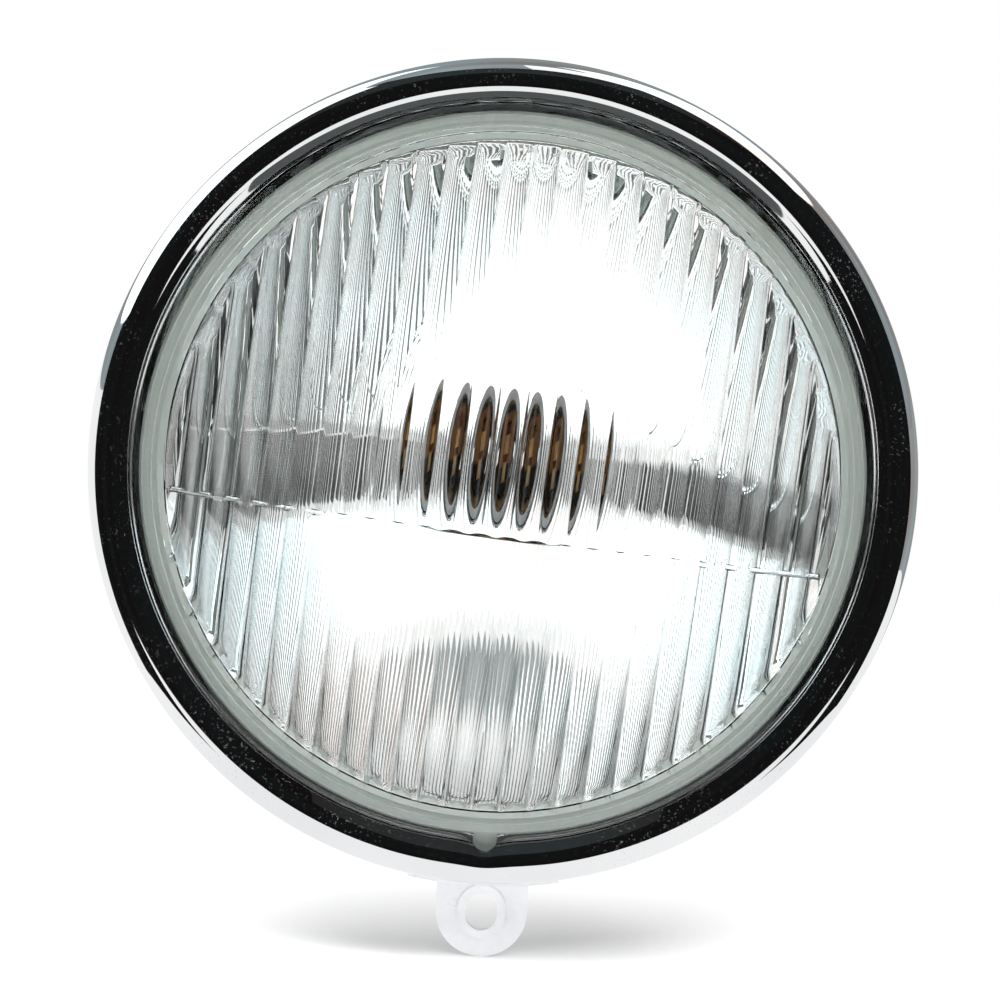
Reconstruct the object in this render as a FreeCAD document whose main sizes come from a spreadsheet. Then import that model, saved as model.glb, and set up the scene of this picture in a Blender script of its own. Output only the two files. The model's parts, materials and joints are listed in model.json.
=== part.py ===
import FreeCAD, Part
import Sketcher
import math
import os
import re

os.makedirs("parts", exist_ok=True)

# A small round motorbike headlight insert: a chromed rim with a pressed fluted lens,
# a reflector and an empty bayonet bulb holder. The optical axis is Y, the lens faces -Y,
# +Z is up, and the origin lies on that axis in the plane where the rim seats on the lamp shell.
# Lengths are millimetres and angles are degrees.

SIZES = {
    # Rim, pressed from one sheet
    "rim_diameter": 115.0,
    "rim_depth": 13.0,
    "rim_sheet": 0.8,
    "rim_face": 7.2,
    "shoulder_round": 3.2,
    "lip_turn": 2.2,
    "hem_width": 2.5,
    "hem_round": 1.2,
    "notch_width": 3.4,
    "notch_depth": 2.2,
    # Fixing bracket welded under the rim
    "bracket_sheet": 1.0,
    "bracket_width": 21.0,
    "bracket_grip": 7.0,
    "tab_width": 13.0,
    "tab_drop": 6.0,
    "slot_width": 4.5,
    "slot_length": 5.4,
    "emboss_margin": 1.2,
    "emboss_height": 0.3,
    # Hook at the top of the rim
    "hook_sheet": 1.0,
    "hook_width": 12.0,
    "hook_root": 2.9,
    "hook_gap": 4.0,
    "hook_rise": 1.9,
    # Lens, pressed glass
    "lens_turn": 5.0,
    "lens_flange_play": 1.0,
    "lens_flange": 2.6,
    "lens_play": 0.4,
    "lens_wall_rise": 1.6,
    "ledge_width": 1.5,
    "ledge_rise": 0.4,
    "ledge_step": 0.7,
    "lens_border_rise": 0.8,
    "field_border": 5.7,
    "field_draft": 55.0,
    "border_margin": 0.7,
    "dome_radius": 150.0,
    "glass_thickness": 4.0,
    "flute_pitch": 3.8,
    "flute_depth": 0.6,
    "flute_overrun": 1.2,
    "flute_split": 7.7,
    "lower_radius": 128.0,
    "lower_step": 0.7,
    # Gasket and reflector
    "gasket_thickness": 1.6,
    "gasket_inset": 0.4,
    "reflector_sheet": 0.8,
    "reflector_flange": 6.5,
    "reflector_play": 0.6,
    "reflector_edge": 2.0,
    "focal_length": 24.0,
    "neck_bore": 20.0,
    "neck_length": 7.0,
    "neck_lip": 1.2,
    # Springs that press the reflector and lens against the rim's lip
    "clip_count": 6,
    "clip_first_angle": 30.0,
    "clip_sheet": 0.6,
    "clip_width": 8.0,
    "clip_foot": 3.2,
    "clip_toe_gap": 1.2,
    "clip_reach": 1.1,
    # Bulb holder
    "holder_sheet": 0.8,
    "holder_flange": 32.0,
    "holder_play": 0.2,
    "holder_cup": 4.0,
    "sleeve_bore": 15.3,
    "sleeve_sheet": 0.5,
    "sleeve_stand": 1.5,
    "sleeve_length": 18.0,
    "sleeve_seat": 1.0,
    "pin_slot_width": 2.4,
    "pin_slot_depth": 9.0,
    "pin_slot_turn": 3.2,
    "pin_slot_return": 1.4,
    "insulator_play": 0.1,
    "insulator_thickness": 2.0,
    # Contacts, terminals and rivets
    "contact_sheet": 0.4,
    "contact_width": 4.0,
    "contact_offset": 4.0,
    "contact_lift": 3.0,
    "contact_pad": 1.8,
    "contact_foot": 1.5,
    "rivet_shank": 2.0,
    "rivet_head": 2.6,
    "rivet_head_height": 0.6,
    "rivet_room": 0.3,
    "rivet_circle": 27.4,
    "blade_width": 6.3,
    "blade_sheet": 0.8,
    "blade_length": 12.0,
    "blade_point": 1.2,
    "live_foot": 1.4,
    "earth_foot": 1.7,
    "spring_sheet": 0.6,
    "spring_width": 5.0,
    "spring_play": 0.1,
    "spring_catch": 0.8,
}

doc = FreeCAD.newDocument("headlight_insert")
sheet = doc.addObject("Spreadsheet::Sheet", "sizes")
for row, (alias, value) in enumerate(SIZES.items(), start=1):
    sheet.set("A%d" % row, alias)
    sheet.set("B%d" % row, str(value))
    sheet.setAlias("B%d" % row, alias)
doc.recompute()


def bind(text):
    """Turn the size names in an expression into references to the sheet's cells."""
    def cell(match):
        word = match.group(0)
        return "sizes." + word if word in SIZES else word
    return re.sub(r"[a-z][a-z_]*", cell, text)


def value_of(text):
    """The present value of an expression in the sheet's sizes."""
    return float(sheet.evalExpression(bind(text)))


# Levels along the optical axis and radii that several pieces share, each worked out from the sizes
RIM_RADIUS = "(rim_diameter / 2)"
CREST_RADIUS = "(rim_diameter / 2 - shoulder_round)"
OPENING_RADIUS = "(rim_diameter / 2 - rim_face)"
LIP_LEVEL = "(lip_turn - rim_depth)"
LENS_RADIUS = "(rim_diameter / 2 - hem_width - lens_flange_play)"
LENS_REAR = "(lip_turn - rim_depth + lens_flange)"
FLANGE_FRONT = "(lip_turn - rim_depth + lens_flange + gasket_thickness)"
FLANGE_REAR = "(lip_turn - rim_depth + lens_flange + gasket_thickness + reflector_sheet)"
LEDGE_LEVEL = "(lip_turn - rim_depth - lens_wall_rise - ledge_rise)"
FIELD_RADIUS = "(rim_diameter / 2 - rim_face - field_border)"
DOME_EDGE = "(%s - ledge_step - lens_border_rise)" % LEDGE_LEVEL
DOME_EDGE_RADIUS = "(%s + border_margin)" % FIELD_RADIUS
DOME_CENTRE = "(%s + sqrt(dome_radius ^ 2 - %s ^ 2))" % (DOME_EDGE, DOME_EDGE_RADIUS)
FIELD_LEVEL = "(%s + glass_thickness - sqrt(dome_radius ^ 2 - %s ^ 2))" % (DOME_CENTRE, FIELD_RADIUS)
APERTURE = "(%s - reflector_flange)" % LENS_RADIUS
VERTEX = "(%s + %s ^ 2 / (4 * focal_length))" % (FLANGE_FRONT, APERTURE)
NECK_FRONT = "(%s - (neck_bore / 2) ^ 2 / (4 * focal_length))" % VERTEX
NECK_REAR = "(%s + neck_length)" % NECK_FRONT
HOLDER_REAR = "(%s + holder_sheet)" % NECK_REAR
SLEEVE_RADIUS = "(sleeve_bore / 2 + sleeve_sheet)"
SLEEVE_FRONT = "(%s - holder_cup - sleeve_stand)" % NECK_REAR
SLEEVE_REAR = "(%s + sleeve_length)" % SLEEVE_FRONT
PLATE_REAR = "(%s - sleeve_sheet)" % SLEEVE_REAR
PLATE_FRONT = "(%s - insulator_thickness)" % PLATE_REAR
RIVET_RADIUS = "(rivet_circle / 2)"
TAB_REACH = "(rim_diameter / 2 + tab_drop)"


def new_body(label):
    body = doc.addObject("PartDesign::Body", label)
    body.Label = label
    return body


def new_sketch(body, plane, name):
    """A sketch on one of the body's own origin planes."""
    sketch = body.newObject("Sketcher::SketchObject", name)
    origin_planes = {feature.Role: feature for feature in body.Origin.OriginFeatures}
    sketch.AttachmentSupport = [(origin_planes[plane], "")]
    sketch.MapMode = "FlatFace"
    doc.recompute()
    return sketch


def lock(sketch, geometry, position, x, y):
    """Tie a point of the sketch to two expressions, measured from the sketch's origin."""
    for kind, text in (("DistanceX", x), ("DistanceY", y)):
        axis = -2 if kind == "DistanceX" else -1
        if text == "0":
            sketch.addConstraint(Sketcher.Constraint("PointOnObject", geometry, position, axis))
        else:
            index = sketch.addConstraint(
                Sketcher.Constraint(kind, geometry, position, value_of(text)))
            sketch.setExpression("Constraints[%d]" % index, bind(text))


HALF_ROUND = "half round"


def draw_outline(sketch, points):
    """A closed outline of lines and arcs.

    Each point is (x, y), or (x, y, radius, side) where an arc leaves it for the next point;
    side is 1 where the arc's centre lies to the left of that way and -1 where it lies to the right.
    A radius of HALF_ROUND makes a half circle between two points at the same height.
    """
    spots = [FreeCAD.Vector(value_of(p[0]), value_of(p[1]), 0) for p in points]
    count = len(points)
    ends = []
    for i, point in enumerate(points):
        start, end = spots[i], spots[(i + 1) % count]
        if len(point) == 2:
            geometry = sketch.addGeometry(Part.LineSegment(start, end), False)
            ends.append((geometry, 1, 2))
            continue
        chord = end - start
        side = point[3]
        half_round = point[2] == HALF_ROUND
        radius = chord.Length / 2 if half_round else value_of(point[2])
        left = FreeCAD.Vector(-chord.y, chord.x, 0) / chord.Length
        rise = math.sqrt(max(radius ** 2 - chord.Length ** 2 / 4, 0))
        centre = (start + end) / 2 + left * rise * side
        middle = centre - left * radius * side
        geometry = sketch.addGeometry(Part.Arc(start, middle, end), False)
        ends.append((geometry, 1, 2) if side > 0 else (geometry, 2, 1))
        if half_round:
            tie = Sketcher.Constraint("DistanceY", geometry, 3, start.y)
        else:
            tie = Sketcher.Constraint("Radius", geometry, radius)
        index = sketch.addConstraint(tie)
        sketch.setExpression("Constraints[%d]" % index, bind(point[1] if half_round else point[2]))
    for i, point in enumerate(points):
        geometry, first, last = ends[i]
        following, start, end = ends[(i + 1) % count]
        sketch.addConstraint(Sketcher.Constraint("Coincident", geometry, last, following, start))
        lock(sketch, geometry, first, point[0], point[1])


def draw_circle(sketch, x, y, radius):
    centre = FreeCAD.Vector(value_of(x), value_of(y), 0)
    upward = FreeCAD.Vector(0, 0, 1)
    geometry = sketch.addGeometry(Part.Circle(centre, upward, value_of(radius)), False)
    lock(sketch, geometry, 3, x, y)
    index = sketch.addConstraint(Sketcher.Constraint("Radius", geometry, value_of(radius)))
    sketch.setExpression("Constraints[%d]" % index, bind(radius))


def draw_rectangle(sketch, left, low, right, high):
    draw_outline(sketch, [(left, low), (right, low), (right, high), (left, high)])


def turn(body, sketch, name, angle=None):
    """Revolve a sketch about the Y axis, all the way round or evenly to both sides of its plane."""
    feature = body.newObject("PartDesign::Revolution", name)
    feature.Profile = sketch
    on_yz = sketch.AttachmentSupport[0][0].Role == "YZ_Plane"
    feature.ReferenceAxis = (sketch, ["H_Axis" if on_yz else "V_Axis"])
    if angle:
        feature.Midplane = True
        feature.setExpression("Angle", bind(angle))
    else:
        feature.Angle = 360
    doc.recompute()
    return feature


def pad(body, sketch, name, length, midplane=True, reverse=False):
    feature = body.newObject("PartDesign::Pad", name)
    feature.Profile = sketch
    feature.SideType = "Symmetric" if midplane else "One side"
    feature.Reversed = reverse
    feature.setExpression("Length", bind(length))
    doc.recompute()
    return feature


def pocket(body, sketch, name, length, midplane=True, reverse=False):
    """Cut a sketch into its body, and make sure that it does take material away."""
    before = body.Shape.Volume
    feature = body.newObject("PartDesign::Pocket", name)
    feature.Profile = sketch
    feature.SideType = "Symmetric" if midplane else "One side"
    feature.Reversed = reverse
    feature.setExpression("Length", bind(length))
    doc.recompute()
    if body.Shape.Volume >= before - 1e-6:
        raise RuntimeError("%s cuts nothing" % name)
    return feature


def make_rim():
    """The chromed ring: an arch that turns in to a lip over the glass, and a hem at the seat."""
    body = new_body("rim")
    section = new_sketch(body, "XY_Plane", "rim_section")
    crest = "-rim_depth"
    hem = "(%s - hem_width)" % RIM_RADIUS
    arch = "(((rim_face - shoulder_round) ^ 2 + lip_turn ^ 2) / (2 * lip_turn))"
    inner_lip = "(%s - sqrt((%s - rim_sheet) ^ 2 - (%s - lip_turn) ^ 2))" % (CREST_RADIUS, arch, arch)
    draw_outline(section, [
        (OPENING_RADIUS, LIP_LEVEL, arch, 1),
        (CREST_RADIUS, crest, "shoulder_round", 1),
        (RIM_RADIUS, "shoulder_round - rim_depth"),
        (RIM_RADIUS, "-hem_round", "hem_round", 1),
        (RIM_RADIUS + " - hem_round", "0"),
        (hem, "0"),
        (hem, "-rim_sheet"),
        (RIM_RADIUS + " - hem_round", "-rim_sheet", "hem_round - rim_sheet", -1),
        (RIM_RADIUS + " - rim_sheet", "-hem_round"),
        (RIM_RADIUS + " - rim_sheet", "shoulder_round - rim_depth", "shoulder_round - rim_sheet", -1),
        (CREST_RADIUS, "rim_sheet - rim_depth", arch + " - rim_sheet", -1),
        (inner_lip, LIP_LEVEL),
    ])
    turn(body, section, "rim_ring")
    notch = new_sketch(body, "XZ_Plane", "notch_outline")
    base = "-(%s + notch_depth - notch_width / 2)" % OPENING_RADIUS
    inside = "-(%s - notch_width)" % OPENING_RADIUS
    draw_outline(notch, [
        ("-notch_width / 2", base, HALF_ROUND, 1),
        ("notch_width / 2", base),
        ("notch_width / 2", inside),
        ("-notch_width / 2", inside),
    ])
    pocket(body, notch, "drain_notch", "4 * rim_depth")
    return body


def make_fixing_bracket():
    """The pressed strip welded under the rim, with the screw tab bent down at the seat plane."""
    body = new_body("fixing_bracket")
    strip = new_sketch(body, "YZ_Plane", "strip_section")
    draw_rectangle(strip, "-bracket_grip", "-(%s + bracket_sheet)" % RIM_RADIUS,
                   "0", "-" + RIM_RADIUS)
    turn(body, strip, "strip", "bracket_width / %s * 180 / pi" % RIM_RADIUS)
    tab = new_sketch(body, "XZ_Plane", "tab_outline")
    draw_outline(tab, [
        ("-tab_width / 2", "-(%s + bracket_sheet / 2)" % RIM_RADIUS),
        ("-tab_width / 2", "-" + TAB_REACH, HALF_ROUND, 1),
        ("tab_width / 2", "-" + TAB_REACH),
        ("tab_width / 2", "-(%s + bracket_sheet / 2)" % RIM_RADIUS),
    ])
    pad(body, tab, "tab", "bracket_sheet", midplane=False)
    emboss = new_sketch(body, "XZ_Plane", "emboss_outline")
    draw_slot(emboss, "emboss_margin")
    pad(body, emboss, "emboss", "bracket_sheet + emboss_height", midplane=False)
    slot = new_sketch(body, "XZ_Plane", "slot_outline")
    draw_slot(slot, "0")
    pocket(body, slot, "screw_slot", "4 * bracket_sheet")
    return body


def draw_slot(sketch, margin):
    """The upright oval of the screw hole, or one that stands a margin outside it."""
    half = "(slot_width / 2 + %s)" % margin
    low = "(-%s - (slot_length - slot_width) / 2)" % TAB_REACH
    high = "(-%s + (slot_length - slot_width) / 2)" % TAB_REACH
    draw_outline(sketch, [
        ("-" + half, low, HALF_ROUND, 1),
        (half, low),
        (half, high, HALF_ROUND, 1),
        ("-" + half, high),
    ])


def make_top_hook():
    """The hook that catches behind the lamp shell's edge: welded inside the hem and turned up."""
    body = new_body("top_hook")
    section = new_sketch(body, "YZ_Plane", "hook_section")
    tongue = "(%s - hem_width - hook_sheet)" % RIM_RADIUS
    low = "(%s - hook_sheet)" % tongue
    draw_outline(section, [
        ("-rim_sheet - hook_sheet", low),
        ("hook_gap + hook_sheet", low),
        ("hook_gap + hook_sheet", low + " + hook_sheet + hook_rise"),
        ("hook_gap", low + " + hook_sheet + hook_rise"),
        ("hook_gap", tongue),
        ("-rim_sheet", tongue),
        ("-rim_sheet", low + " + hook_root"),
        ("-rim_sheet - hook_sheet", low + " + hook_root"),
    ])
    pad(body, section, "hook", "hook_width")
    return body


def make_lens_blank():
    """The pressed glass before its flutes: a flange, a stepped border and a domed front."""
    body = new_body("lens_blank")
    section = new_sketch(body, "XY_Plane", "lens_section")
    wall = "(%s - lens_play)" % OPENING_RADIUS
    apex = "(%s - dome_radius)" % DOME_CENTRE
    draw_outline(section, [
        ("0", LENS_REAR),
        (LENS_RADIUS, LENS_REAR),
        (LENS_RADIUS, LIP_LEVEL),
        (wall, LIP_LEVEL),
        (wall, LIP_LEVEL + " - lens_wall_rise"),
        (wall + " - ledge_width", LEDGE_LEVEL),
        (wall + " - ledge_width", LEDGE_LEVEL + " - ledge_step"),
        (DOME_EDGE_RADIUS, DOME_EDGE, "dome_radius", -1),
        ("0", apex),
    ])
    turn(body, section, "lens_disc")
    return body


def make_flute_tool(label, radius, step):
    """The fluted face of the press plunger: round ribs side by side, bent to the dome's curve.

    The section lies across the flutes, and turning it about an axis along X bends every rib.
    """
    body = new_body(label)
    section = new_sketch(body, "XY_Plane", label + "_section")
    floor = "(%s - dome_radius + glass_thickness + %s)" % (DOME_CENTRE, step)
    centre = "(%s + %s)" % (floor, radius)
    sides = math.ceil(value_of("%s / flute_pitch" % FIELD_RADIUS)) + 1
    rib = "((flute_pitch / 2) ^ 2 + flute_depth ^ 2) / (2 * flute_depth)"
    edges = [offset - 0.5 for offset in range(-sides, sides + 2)]
    points = []
    for offset in edges:
        x = "%s * flute_pitch" % offset
        y = "%s - sqrt(%s ^ 2 - (%s) ^ 2)" % (centre, radius, x)
        points.append((x, y, rib, -1))
    points[-1] = points[-1][:2]
    back = "%s + dome_radius / 4" % LENS_REAR
    points.append(("%s * flute_pitch" % edges[-1], back))
    points.append(("%s * flute_pitch" % edges[0], back))
    draw_outline(section, points)
    axis = section.addGeometry(Part.LineSegment(
        FreeCAD.Vector(-1, value_of(centre), 0), FreeCAD.Vector(1, value_of(centre), 0)), True)
    lock(section, axis, 1, "-flute_pitch", centre)
    lock(section, axis, 2, "flute_pitch", centre)
    feature = body.newObject("PartDesign::Revolution", label + "_ribs")
    feature.Profile = section
    feature.ReferenceAxis = (section, ["Axis0"])
    feature.Midplane = True
    feature.setExpression(
        "Angle", bind("2 * flute_overrun * asin(%s / %s)" % (DOME_EDGE_RADIUS, radius)))
    doc.recompute()
    return body


def make_field_half(label, upper):
    """The half of the round fluted field, tapered for the press, above or below the dividing line."""
    disc = doc.addObject("Part::Cone", label + "_disc")
    reach = "(3 * glass_thickness)"
    disc.setExpression("Radius1", bind("%s - %s * tan(field_draft)" % (FIELD_RADIUS, reach)))
    disc.setExpression("Radius2", bind("%s + %s * tan(field_draft)" % (FIELD_RADIUS, reach)))
    disc.setExpression("Height", bind("2 * " + reach))
    disc.Placement = FreeCAD.Placement(
        FreeCAD.Vector(0, 0, 0), FreeCAD.Rotation(FreeCAD.Vector(1, 0, 0), -90))
    disc.setExpression("Placement.Base.y", bind("%s - %s" % (FIELD_LEVEL, reach)))
    block = doc.addObject("Part::Box", label + "_block")
    for side in ("Length", "Width", "Height"):
        block.setExpression(side, bind("2 * dome_radius"))
    block.setExpression("Placement.Base.x", bind("-dome_radius"))
    block.setExpression("Placement.Base.y", bind("-dome_radius"))
    level = "-flute_split" if upper else "-flute_split - 2 * dome_radius"
    block.setExpression("Placement.Base.z", bind(level))
    half = doc.addObject("Part::Common", label)
    half.Base = disc
    half.Tool = block
    return half


def make_lens():
    """The finished glass: the blank less the upper and lower fluted hollows, turned in the rim."""
    glass = make_lens_blank()
    for label, radius, step, upper in (
            ("upper_flutes", "dome_radius", "0", True),
            ("lower_flutes", "lower_radius", "-lower_step", False)):
        hollow = doc.addObject("Part::Common", label + "_hollow")
        hollow.Base = make_flute_tool(label, radius, step)
        hollow.Tool = make_field_half(label + "_field", upper)
        cut = doc.addObject("Part::Cut", label + "_cut")
        cut.Base = glass
        cut.Tool = hollow
        glass = cut
    glass.Label = "lens"
    glass.Placement = FreeCAD.Placement(
        FreeCAD.Vector(0, 0, 0), FreeCAD.Rotation(FreeCAD.Vector(0, 1, 0), value_of("lens_turn")))
    glass.setExpression("Placement.Rotation.Angle", bind("lens_turn"))
    doc.recompute()
    return glass


def make_lens_gasket():
    """The flat rubber ring between the glass and the reflector's flange."""
    body = new_body("lens_gasket")
    section = new_sketch(body, "XY_Plane", "gasket_section")
    draw_rectangle(section, APERTURE + " + gasket_inset", LENS_REAR,
                   LENS_RADIUS + " - gasket_inset", FLANGE_FRONT)
    turn(body, section, "gasket_ring")
    return body


def make_reflector():
    """The drawn steel bowl: an exact paraboloid with a flange in front and a neck behind."""
    sheet_gauge = value_of("reflector_sheet")
    vertex = value_of(VERTEX)
    aperture = value_of(APERTURE)
    bore = value_of("neck_bore / 2")
    rim = value_of(LENS_RADIUS + " + reflector_play")
    front = value_of(FLANGE_FRONT)
    turned = front + value_of("reflector_edge")
    neck_end = value_of(NECK_REAR)
    neck_wall = bore + sheet_gauge
    lip = neck_wall + value_of("neck_lip")

    def spot(radius, level):
        return FreeCAD.Vector(radius, level, 0)

    def bowl_curve(start, end, offset):
        """The parabola between two radii, as the quadratic curve that matches it exactly."""
        scale = 4 * value_of("focal_length")
        middle = spot((start + end) / 2, vertex + offset - start * end / scale)
        curve = Part.BezierCurve()
        curve.setPoles([
            spot(start, vertex + offset - start ** 2 / scale),
            middle,
            spot(end, vertex + offset - end ** 2 / scale)])
        return curve.toShape()

    inner = bowl_curve(bore, aperture, 0)
    outer = bowl_curve(aperture, neck_wall, sheet_gauge)
    flange = Part.makePolygon([
        spot(aperture, front), spot(rim, front), spot(rim, turned),
        spot(rim - sheet_gauge, turned), spot(rim - sheet_gauge, front + sheet_gauge),
        spot(aperture, front + sheet_gauge)])
    neck = Part.makePolygon([
        outer.Vertexes[-1].Point, spot(neck_wall, neck_end - sheet_gauge),
        spot(lip, neck_end - sheet_gauge), spot(lip, neck_end), spot(bore, neck_end),
        inner.Vertexes[0].Point])
    section = Part.Face(Part.Wire([inner] + flange.Edges + [outer] + neck.Edges))
    reflector = doc.addObject("Part::Feature", "reflector")
    axis = FreeCAD.Vector(0, 1, 0)
    reflector.Shape = section.revolve(FreeCAD.Vector(0, 0, 0), axis, 360)
    return reflector


def make_retaining_clip(number):
    """One flat spring: its foot presses on the reflector's flange, its head on the rim's hem."""
    body = new_body("retaining_clip_%d" % number)
    section = new_sketch(body, "YZ_Plane", "clip_section_%d" % number)
    toe = "(%s + clip_toe_gap)" % APERTURE
    heel = "(%s + clip_foot)" % toe
    head = "(%s - hem_width + clip_reach)" % RIM_RADIUS
    neck = "(%s + 2 * clip_sheet)" % heel
    under = "(-rim_sheet - clip_sheet)"
    draw_outline(section, [
        (FLANGE_REAR, toe),
        (FLANGE_REAR, heel),
        (under, neck),
        (under, head),
        ("-rim_sheet", head),
        ("-rim_sheet", neck + " - clip_sheet / 2"),
        (FLANGE_REAR + " + clip_sheet", heel + " - clip_sheet / 2"),
        (FLANGE_REAR + " + clip_sheet", toe),
    ])
    pad(body, section, "clip_%d" % number, "clip_width")
    body.Placement = FreeCAD.Placement(
        FreeCAD.Vector(0, 0, 0), FreeCAD.Rotation(FreeCAD.Vector(0, 1, 0), 1))
    body.setExpression(
        "Placement.Rotation.Angle",
        bind("clip_first_angle + %d * 360 / clip_count" % (number - 1)))
    doc.recompute()
    return body


def make_holder_cup():
    """The pressed cup that centres the bulb holder in the reflector's neck."""
    body = new_body("holder_cup")
    section = new_sketch(body, "XY_Plane", "holder_section")
    spigot = "(neck_bore / 2 - holder_play)"
    web = "(%s - holder_cup)" % NECK_REAR
    draw_outline(section, [
        ("holder_flange / 2", NECK_REAR),
        (spigot, NECK_REAR),
        (spigot, web),
        (SLEEVE_RADIUS, web),
        (SLEEVE_RADIUS, web + " + holder_sheet"),
        (spigot + " - holder_sheet", web + " + holder_sheet"),
        (spigot + " - holder_sheet", HOLDER_REAR),
        ("holder_flange / 2", HOLDER_REAR),
    ])
    turn(body, section, "cup")
    holes = new_sketch(body, "XZ_Plane", "holder_rivet_holes")
    draw_circle(holes, RIVET_RADIUS, "0", "rivet_shank / 2")
    draw_circle(holes, "-" + RIVET_RADIUS, "0", "rivet_shank / 2")
    draw_circle(holes, "0", RIVET_RADIUS, "rivet_shank / 2")
    pocket(body, holes, "rivet_holes", "4 * (%s)" % HOLDER_REAR)
    return body


def make_socket_sleeve():
    """The brass sleeve for the bulb's cap, with a bayonet slot for the locking pin on each side."""
    body = new_body("socket_sleeve")
    section = new_sketch(body, "XY_Plane", "sleeve_section")
    bore = "(sleeve_bore / 2)"
    draw_outline(section, [
        (bore, SLEEVE_FRONT),
        (SLEEVE_RADIUS, SLEEVE_FRONT),
        (SLEEVE_RADIUS, SLEEVE_REAR),
        (bore + " - sleeve_seat", SLEEVE_REAR),
        (bore + " - sleeve_seat", PLATE_REAR),
        (bore, PLATE_REAR),
    ])
    turn(body, section, "sleeve")
    slot = new_sketch(body, "YZ_Plane", "pin_slot")
    half = "(pin_slot_width / 2)"
    deep = "(%s + pin_slot_depth)" % SLEEVE_FRONT
    draw_outline(slot, [
        (SLEEVE_FRONT + " - sleeve_stand", "-" + half),
        (deep + " - pin_slot_width", "-" + half),
        (deep + " - pin_slot_width - pin_slot_return", "-%s - pin_slot_turn + pin_slot_width" % half),
        (deep + " - pin_slot_width - pin_slot_return", "-%s - pin_slot_turn" % half),
        (deep, "-%s - pin_slot_turn" % half),
        (deep, half),
        (SLEEVE_FRONT + " - sleeve_stand", half),
    ])
    cut = pocket(body, slot, "pin_slot_cut", SLEEVE_RADIUS + " + sleeve_sheet",
                 midplane=False, reverse=True)
    pair = body.newObject("PartDesign::PolarPattern", "pin_slot_pair")
    pair.Originals = [cut]
    axes = {feature.Role: feature for feature in body.Origin.OriginFeatures}
    pair.Axis = (axes["Y_Axis"], [""])
    pair.Angle = 360
    pair.Occurrences = 2
    body.Tip = pair
    doc.recompute()
    return body


def make_insulator_plate():
    """The brown laminate disc that closes the sleeve and carries the live contact."""
    body = new_body("insulator_plate")
    section = new_sketch(body, "XY_Plane", "insulator_section")
    draw_rectangle(section, "0", PLATE_FRONT, "sleeve_bore / 2 - insulator_play", PLATE_REAR)
    turn(body, section, "insulator_disc")
    hole = new_sketch(body, "XZ_Plane", "insulator_hole")
    draw_circle(hole, "0", "-contact_offset", "rivet_shank / 2")
    pocket(body, hole, "insulator_rivet_hole", "4 * " + PLATE_REAR)
    return body


def make_main_contact():
    """The bronze leaf that the bulb presses on: a riveted foot, a slope and a raised pad."""
    body = new_body("main_contact")
    section = new_sketch(body, "YZ_Plane", "contact_section")
    raised = "(%s - contact_lift)" % PLATE_FRONT
    heel = "(rivet_head / 2 + rivet_room + contact_sheet - contact_offset)"
    draw_outline(section, [
        (PLATE_FRONT, "-contact_offset - contact_foot"),
        (PLATE_FRONT, heel),
        (raised, "-contact_pad / 2 + contact_sheet"),
        (raised, "contact_pad"),
        (raised + " + contact_lift / 2", "contact_pad + contact_foot"),
        (raised + " + contact_lift / 2", "contact_pad + contact_foot + contact_sheet"),
        (raised + " - contact_sheet", "contact_pad + contact_sheet / 2"),
        (raised + " - contact_sheet", "-contact_pad / 2"),
        (PLATE_FRONT + " - contact_sheet", heel + " - contact_sheet"),
        (PLATE_FRONT + " - contact_sheet", "-contact_offset - contact_foot"),
    ])
    pad(body, section, "contact_leaf", "contact_width")
    hole = new_sketch(body, "XZ_Plane", "contact_hole")
    draw_circle(hole, "0", "-contact_offset", "rivet_shank / 2")
    pocket(body, hole, "contact_rivet_hole", "4 * " + PLATE_REAR)
    return body


def make_blade(label, level, side, rivet_reach, foot):
    """A push-on blade bent back from a riveted foot, with its corners cut away at the point.

    The rivet lies at rivet_reach from the axis, upwards or downwards as side says,
    and the blade stands on the foot's inner edge, clear of the rivet's head.
    """
    body = new_body(label)
    section = new_sketch(body, "YZ_Plane", label + "_section")
    tip = "(%s + blade_length)" % level
    outer = "%s(%s + %s)" % (side, rivet_reach, foot)
    blade_outer = "%s(%s - rivet_head / 2 - rivet_room)" % (side, rivet_reach)
    blade_inner = "%s(%s - rivet_head / 2 - rivet_room - blade_sheet)" % (side, rivet_reach)
    draw_outline(section, [
        (level, outer),
        (level, blade_inner),
        (tip, blade_inner),
        (tip, blade_outer),
        (level + " + blade_sheet", blade_outer),
        (level + " + blade_sheet", outer),
    ])
    pad(body, section, label + "_strip", "blade_width")
    corners = new_sketch(body, "XY_Plane", label + "_corners")
    for edge in ("", "-"):
        draw_outline(corners, [
            (edge + "blade_width / 2", tip),
            (edge + "blade_width / 2", tip + " - 2 * blade_point"),
            (edge + "(blade_width / 2 - blade_point)", tip),
        ])
    pocket(body, corners, label + "_point", "2 * rim_diameter")
    hole = new_sketch(body, "XZ_Plane", label + "_hole")
    draw_circle(hole, "0", side + rivet_reach, "rivet_shank / 2")
    pocket(body, hole, label + "_rivet_hole", "4 * " + SLEEVE_REAR)
    return body


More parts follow.
